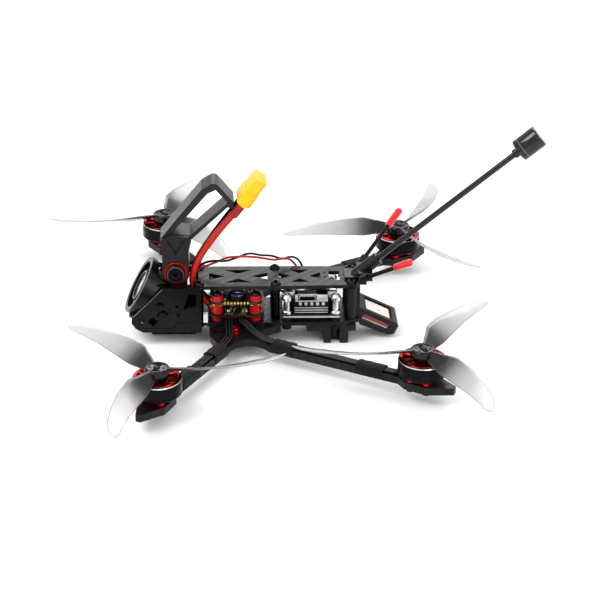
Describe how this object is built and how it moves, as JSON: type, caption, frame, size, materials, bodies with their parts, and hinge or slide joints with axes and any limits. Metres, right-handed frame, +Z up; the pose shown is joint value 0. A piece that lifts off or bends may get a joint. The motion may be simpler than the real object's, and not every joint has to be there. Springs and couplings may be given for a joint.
{
  "type": "racing drone",
  "caption": "Long-range racing quadcopter: carbon frame, bladed rotors, tilting nose camera, forked action-camera cradle, aerials and a long rear mast.",
  "frame": {"origin": "on the ground plane, midway between the four motors", "axes": "+Z up, nose towards -Y, the drone's own left side towards +X"},
  "size_m": [0.302, 0.2645, 0.1163],
  "materials": {
    "carbon": "satin woven carbon plate",
    "dark_aluminium": "black anodised",
    "red_aluminium": "red anodised",
    "black_steel": "blackened",
    "windings": "enamelled copper and dark laminations",
    "black_silicone": "satin",
    "red_silicone": "satin",
    "cloth_tape": "matt",
    "printed": "printed flexible plastic, fine layer lines",
    "camera_case": "matt",
    "lens_glass": "clear",
    "board": "circuit board",
    "dark_plastic": "satin",
    "red_rubber": "satin",
    "white_plastic": "matt",
    "silver": "bead blasted",
    "yellow_plastic": "satin",
    "prop": "smoky translucent"
  },
  "bodies": {
    "frame": {"aerial_caps": "red_rubber", "aerial_holder": "printed", "arm_bolts": "red_aluminium", "arm_wraps": "cloth_tape", "arms_left": "carbon", "arms_right": "carbon", "battery_connector": "yellow_plastic", "beeper": "dark_plastic", "deck_plate": "carbon", "deck_screws": "black_steel", "esc_board": "board", "esc_plug": "white_plastic", "fc_board": "board", "gps_holder": "printed", "gps_module": "white_plastic", "lead_black": "black_silicone", "lead_red": "red_silicone", "mast": "dark_plastic", "mast_head": "dark_plastic", "motor_feet": "red_aluminium", "motor_screws": "black_steel", "motor_wires_front": "black_silicone", "motor_wires_rear": "black_silicone", "nose_housing": "printed", "pair_black": "black_silicone", "pair_red": "red_silicone", "posts": "dark_aluminium", "receiver_aerials": "dark_plastic", "roof_plate": "carbon", "roof_screws": "black_steel", "side_plate_left": "carbon", "side_plate_right": "carbon", "soft_pillars": "red_rubber", "stack_screws": "black_steel", "stators": "windings", "tail_foot": "printed", "video_posts": "dark_aluminium", "video_screws": "black_steel", "video_unit": "silver"},
    "cradle_body": {"cradle": "printed", "pivot_rings": "red_aluminium", "pivot_bolt": "black_steel", "pivot_nut": "black_steel"},
    "flight_camera": {"fpv_camera": "camera_case", "camera_glass": "lens_glass", "camera_pivot_screws": "black_steel", "camera_slot_screws": "black_steel"},
    "rotor_front_left": {"bell_front_left": "dark_aluminium", "cap_front_left": "red_aluminium", "prop_front_left": "prop"},
    "rotor_front_right": {"bell_front_right": "dark_aluminium", "cap_front_right": "red_aluminium", "prop_front_right": "prop"},
    "rotor_rear_left": {"bell_rear_left": "dark_aluminium", "cap_rear_left": "red_aluminium", "prop_rear_left": "prop"},
    "rotor_rear_right": {"bell_rear_right": "dark_aluminium", "cap_rear_right": "red_aluminium", "prop_rear_right": "prop"}
  },
  "joints": [
    {"name": "spin_front_left", "type": "hinge", "parent": "frame", "child": "rotor_front_left", "pos_m": [0.09, -0.0657, 0.0235], "axis": [0, 0, 1], "continuous": true},
    {"name": "spin_front_right", "type": "hinge", "parent": "frame", "child": "rotor_front_right", "pos_m": [-0.09, -0.0657, 0.0235], "axis": [0, 0, 1], "continuous": true},
    {"name": "spin_rear_left", "type": "hinge", "parent": "frame", "child": "rotor_rear_left", "pos_m": [0.073, 0.0657, 0.0235], "axis": [0, 0, 1], "continuous": true},
    {"name": "spin_rear_right", "type": "hinge", "parent": "frame", "child": "rotor_rear_right", "pos_m": [-0.073, 0.0657, 0.0235], "axis": [0, 0, 1], "continuous": true},
    {"name": "cradle_tilt", "type": "hinge", "parent": "frame", "child": "cradle_body", "pos_m": [0, -0.0576, 0.0388], "axis": [1, 0, 0], "range_deg": [0, 28]},
    {"name": "camera_tilt", "type": "hinge", "parent": "frame", "child": "flight_camera", "pos_m": [0, -0.0659, 0.0222], "axis": [1, 0, 0], "range_deg": [-5, 5]}
  ]
}
